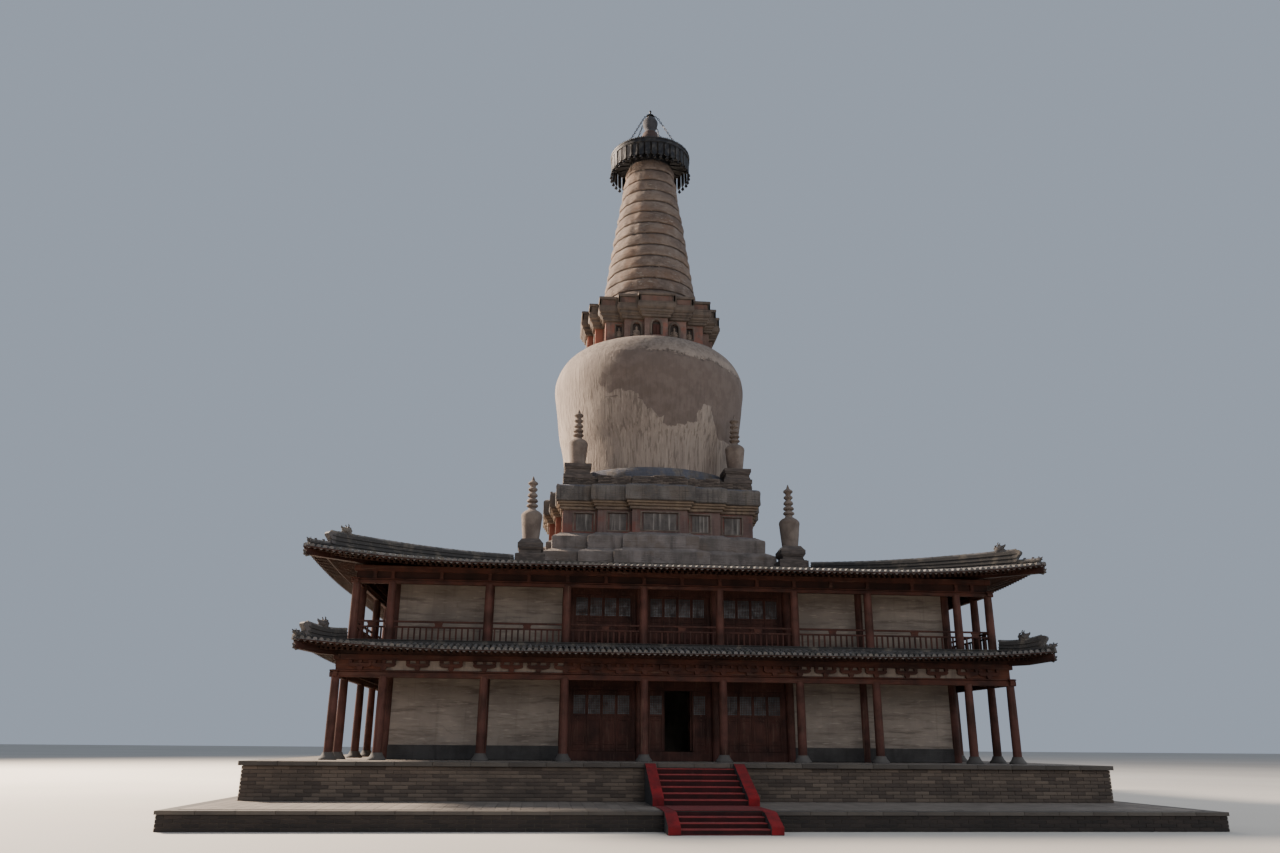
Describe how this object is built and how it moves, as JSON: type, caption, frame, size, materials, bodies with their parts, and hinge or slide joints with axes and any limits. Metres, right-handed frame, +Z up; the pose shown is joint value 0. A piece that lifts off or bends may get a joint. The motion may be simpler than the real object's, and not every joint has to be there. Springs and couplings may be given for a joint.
{
  "type": "stupa",
  "caption": "Bottle-shaped earthen stupa with ringed spire and canopy, rising from a square two-storey timber gallery on a brick platform with front steps.",
  "frame": {"origin": "on the stupa's vertical axis, at the ground under the lower terrace", "axes": "+Z up, -Y towards the steps and the door, +X to the right seen from the front"},
  "size_m": [27.2, 31.56, 33.37],
  "materials": {
    "brick": "rough",
    "stone": "worn",
    "earth": "weathered",
    "blue_brick": "rough",
    "ochre_plaster": "weathered",
    "painted_timber": "worn paint",
    "plaster": "matt",
    "roof_tile": "weathered",
    "carpeted_stone": "matt",
    "bronze": "dark",
    "iron": "dark"
  },
  "bodies": {
    "building": {"base_band": "blue_brick", "base_cornice": "ochre_plaster", "base_lower_course": "brick", "base_parapet": "brick", "base_upper_course": "brick", "base_waist": "blue_brick", "canopy": "bronze", "canopy_stays": "iron", "column_bases": "stone", "dome": "earth", "dome_ring": "blue_brick", "door_frame": "painted_timber", "finial_vase": "earth", "gallery_deck": "painted_timber", "harmika_corbels": "earth", "harmika_frieze": "earth", "harmika_wall": "earth", "inner_stupa_back_left": "earth", "inner_stupa_back_right": "earth", "inner_stupa_front_left": "earth", "inner_stupa_front_right": "earth", "lower_colonnade_back": "painted_timber", "lower_colonnade_front": "painted_timber", "lower_colonnade_left": "painted_timber", "lower_colonnade_right": "painted_timber", "lower_roof_back": "roof_tile", "lower_roof_front": "roof_tile", "lower_roof_left": "roof_tile", "lower_roof_right": "roof_tile", "lower_screen_left": "painted_timber", "lower_screen_right": "painted_timber", "lower_steps": "carpeted_stone", "lower_terrace": "brick", "lower_wall_front_left": "plaster", "lower_wall_front_right": "plaster", "lower_walls_sides_and_back": "plaster", "masonry_core": "brick", "outer_stupa_back_left": "earth", "outer_stupa_back_right": "earth", "outer_stupa_front_left": "earth", "outer_stupa_front_right": "earth", "platform": "stone", "ringed_spire": "earth", "roof_terrace": "stone", "upper_colonnade_back": "painted_timber", "upper_colonnade_front": "painted_timber", "upper_colonnade_left": "painted_timber", "upper_colonnade_right": "painted_timber", "upper_roof_back": "roof_tile", "upper_roof_front": "roof_tile", "upper_roof_left": "roof_tile", "upper_roof_right": "roof_tile", "upper_screens_front": "painted_timber", "upper_steps": "carpeted_stone", "upper_wall_front_left": "plaster", "upper_wall_front_right": "plaster", "upper_walls_sides_and_back": "plaster"},
    "left_leaf": {"door_leaf_left": "painted_timber"},
    "right_leaf": {"door_leaf_right": "painted_timber"}
  },
  "joints": [
    {"name": "left_leaf_hinge", "type": "hinge", "parent": "building", "child": "left_leaf", "pos_m": [-0.462, -9.362, 1.86], "axis": [0, 0, 1], "range_deg": [-90, 0]},
    {"name": "right_leaf_hinge", "type": "hinge", "parent": "building", "child": "right_leaf", "pos_m": [0.462, -9.362, 1.86], "axis": [0, 0, 1], "range_deg": [0, 90]}
  ]
}
